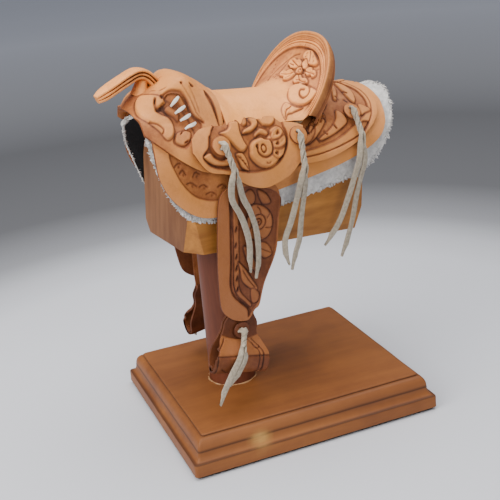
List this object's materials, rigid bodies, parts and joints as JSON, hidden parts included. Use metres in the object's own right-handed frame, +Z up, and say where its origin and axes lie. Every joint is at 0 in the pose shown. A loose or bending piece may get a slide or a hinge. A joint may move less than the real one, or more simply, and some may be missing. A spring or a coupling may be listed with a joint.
{
  "type": "western saddle",
  "caption": "Miniature hand-tooled leather western saddle with fleece lining, swinging fenders and stirrups, on a wooden display stand.",
  "frame": {"origin": "centre of the felt pad under the plaque, on the table", "axes": "+Z up; the horn points towards -Y; the saddle's own left side is +X, turned about 7 degrees on the post"},
  "size_m": [0.1316, 0.1773, 0.2187],
  "materials": {
    "felt": "matte felt",
    "stained_plaque": "satin stain",
    "stained_post": "satin stain",
    "steel": "plain",
    "pine_block": "oiled",
    "tree_wood": "raw",
    "dark_leather": "satin",
    "tooled_leather": "hand tooled, antiqued",
    "smooth_leather": "smooth satin",
    "fleece": "woolly",
    "rawhide": "matte",
    "suede": "suede"
  },
  "bodies": {
    "saddle_on_stand": {"stand_felt": "felt", "stand_base": "stained_plaque", "stand_post": "stained_post", "base_screw": "steel", "block_screw": "steel", "stand_block": "pine_block", "tree_fork": "tree_wood", "tree_cantle": "tree_wood", "ground_seat": "dark_leather", "fork_cover": "tooled_leather", "horn_lower": "dark_leather", "horn_core": "dark_leather", "horn_upper": "smooth_leather", "seat_leather": "smooth_leather", "cantle_back": "tooled_leather", "cantle_binding": "tooled_leather", "tree_bar_left": "tree_wood", "fleece_left": "fleece", "skirt_left": "tooled_leather", "rear_jockey_left": "tooled_leather", "seat_jockey_left": "tooled_leather", "fork_lacing_left": "rawhide", "concho_front_left": "tooled_leather", "string_front_left": "suede", "concho_mid_left": "tooled_leather", "string_mid_left": "suede", "concho_rear_left": "tooled_leather", "string_rear_left": "suede", "tree_bar_right": "tree_wood", "fleece_right": "fleece", "skirt_right": "tooled_leather", "rear_jockey_right": "tooled_leather", "seat_jockey_right": "tooled_leather", "fork_lacing_right": "rawhide", "concho_front_right": "tooled_leather", "string_front_right": "suede", "concho_mid_right": "tooled_leather", "string_mid_right": "suede", "concho_rear_right": "tooled_leather", "string_rear_right": "suede"},
    "hanging_leathers_left": {"fender_left": "tooled_leather", "stirrup_leather_left": "dark_leather"},
    "hanging_leathers_right": {"fender_right": "tooled_leather", "stirrup_leather_right": "dark_leather"},
    "stirrup_assembly_left": {"stirrup_left": "tooled_leather", "stirrup_tread_left": "dark_leather", "concho_stirrup_left": "dark_leather", "string_stirrup_left": "suede"},
    "stirrup_assembly_right": {"stirrup_right": "tooled_leather", "stirrup_tread_right": "dark_leather", "concho_stirrup_right": "dark_leather", "string_stirrup_right": "suede"}
  },
  "joints": [
    {"name": "fender_swing_left", "type": "hinge", "parent": "saddle_on_stand", "child": "hanging_leathers_left", "pos_m": [0.03719, -0.01842, 0.15178], "axis": [0.9925, 0.1219, 0], "range_deg": [-20, 20]},
    {"name": "fender_swing_right", "type": "hinge", "parent": "saddle_on_stand", "child": "hanging_leathers_right", "pos_m": [-0.03824, -0.02768, 0.15178], "axis": [0.9925, 0.1219, 0], "range_deg": [-25, 14]},
    {"name": "stirrup_swing_left", "type": "hinge", "parent": "hanging_leathers_left", "child": "stirrup_assembly_left", "pos_m": [0.03799, -0.03312, 0.06995], "axis": [0.9925, 0.1219, 0], "range_deg": [-18, 22]},
    {"name": "stirrup_swing_right", "type": "hinge", "parent": "hanging_leathers_right", "child": "stirrup_assembly_right", "pos_m": [-0.03748, -0.02565, 0.06169], "axis": [0.9925, 0.1219, 0], "range_deg": [-20, 20]}
  ]
}
